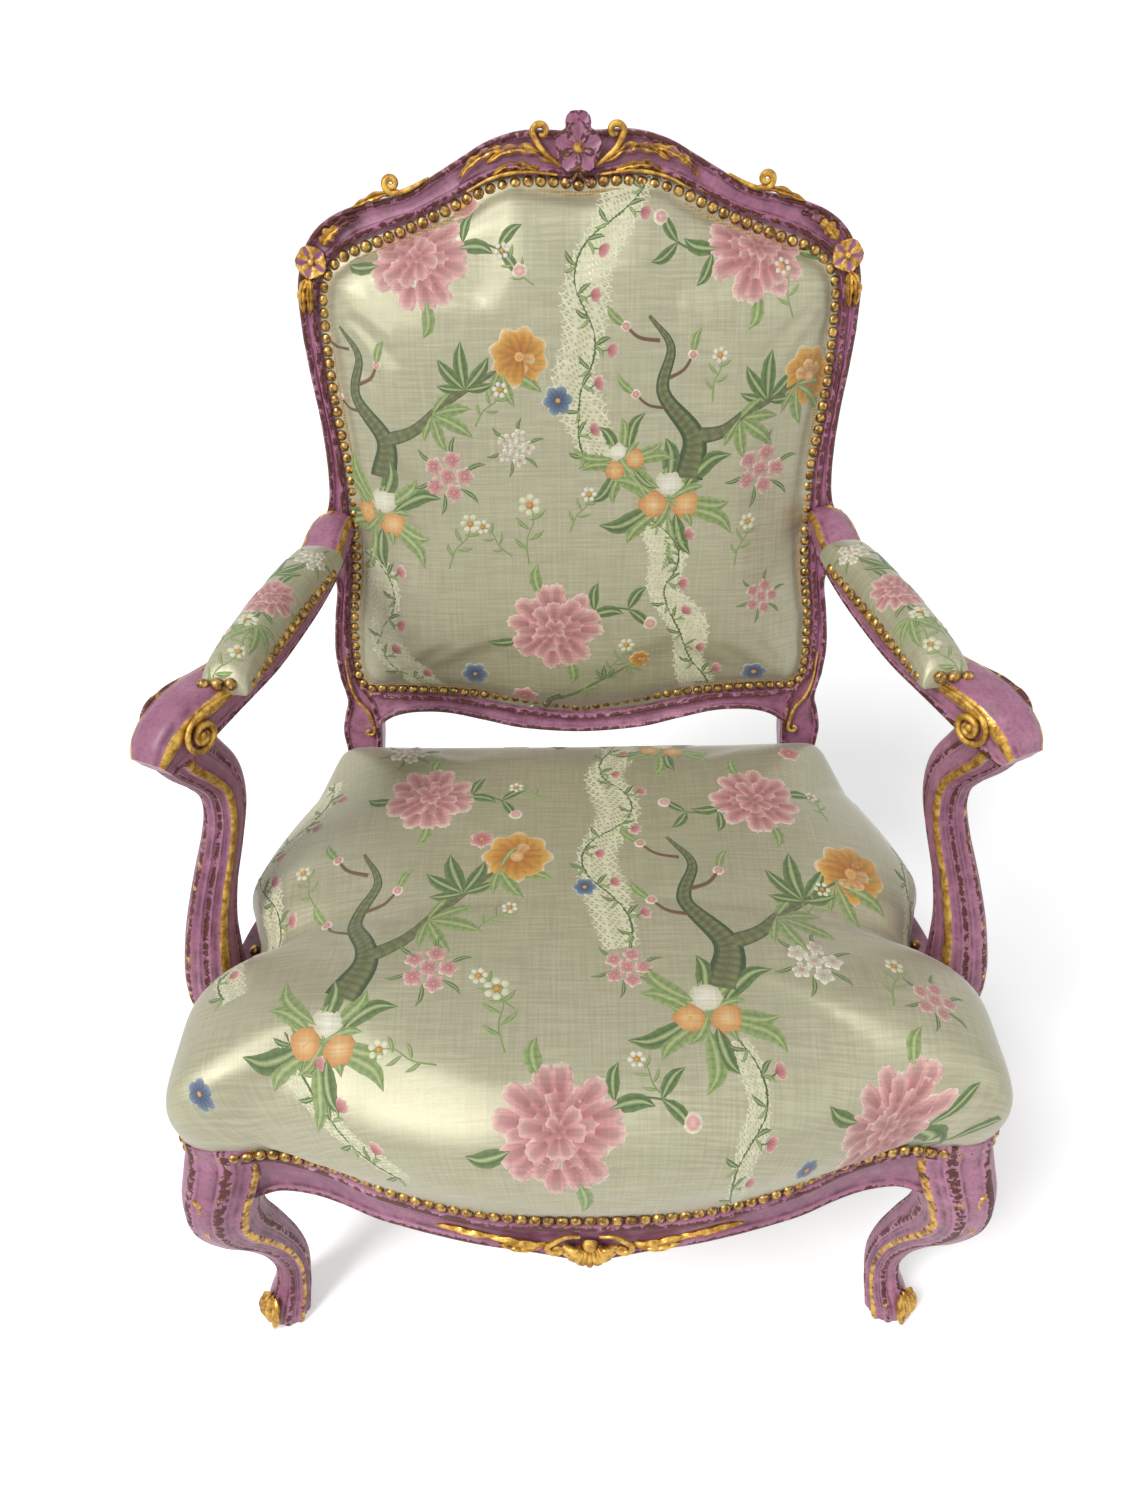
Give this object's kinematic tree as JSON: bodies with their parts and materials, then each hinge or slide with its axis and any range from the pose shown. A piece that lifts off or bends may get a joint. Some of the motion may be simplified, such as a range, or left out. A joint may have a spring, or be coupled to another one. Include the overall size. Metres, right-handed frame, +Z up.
{
  "type": "fauteuil",
  "caption": "Upholstered open armchair with a carved painted frame, shaped crest, scrolled arms on swept supports, cabriole front legs and nailed brocade pads.",
  "frame": {"origin": "on the floor under the middle of the chair, centred left to right and front to back", "axes": "+Z up, the sitter faces -Y, +X to the viewer's right when looking at the front"},
  "size_m": [0.752, 0.6486, 0.9911],
  "materials": {
    "painted_wood": "old mauve-pink paint over dark red-brown wood, worn at the edges, with gilded ribs",
    "bare_wood": "bare beech, darkened",
    "nail_brass": "antiqued brass domes",
    "screw_steel": "dull steel",
    "webbing": "woven jute webbing",
    "hessian": "open-weave hessian",
    "horsehair": "curled horsehair",
    "brocade": "sage satin brocade with woven flowers",
    "outside_fabric": "plain sage satin"
  },
  "bodies": {
    "root": {"front_rail": "painted_wood", "rear_rail": "painted_wood", "side_rail_right": "painted_wood", "side_rail_left": "painted_wood", "front_leg_right": "painted_wood", "front_leg_left": "painted_wood", "rear_post_right": "painted_wood", "rear_post_left": "painted_wood", "crest_rail": "painted_wood", "lower_back_rail": "painted_wood", "arm_right": "painted_wood", "arm_left": "painted_wood", "arm_support_right": "painted_wood", "arm_support_left": "painted_wood", "arm_dowel_right": "bare_wood", "arm_dowel_left": "bare_wood", "corner_brace_front_right": "bare_wood", "corner_brace_front_left": "bare_wood", "corner_brace_rear_right": "bare_wood", "corner_brace_rear_left": "bare_wood", "seat_frame_pegs": "bare_wood", "back_frame_pegs": "bare_wood", "arm_screws": "screw_steel", "brace_screws": "screw_steel", "seat_webbing_lengthwise": "webbing", "seat_webbing_crosswise": "webbing", "seat_hessian": "hessian", "seat_stuffing": "horsehair", "seat_cover": "brocade", "seat_nails": "nail_brass", "back_webbing_upright": "webbing", "back_webbing_across": "webbing", "back_hessian": "hessian", "back_stuffing": "horsehair", "back_cover": "brocade", "back_nails": "nail_brass", "outside_back_cover": "outside_fabric", "outside_back_nails": "nail_brass", "arm_pad_stuffing_right": "horsehair", "arm_pad_stuffing_left": "horsehair", "arm_pad_cover_right": "brocade", "arm_pad_cover_left": "brocade", "arm_pad_nails_right": "nail_brass", "arm_pad_nails_left": "nail_brass"}
  },
  "joints": []
}
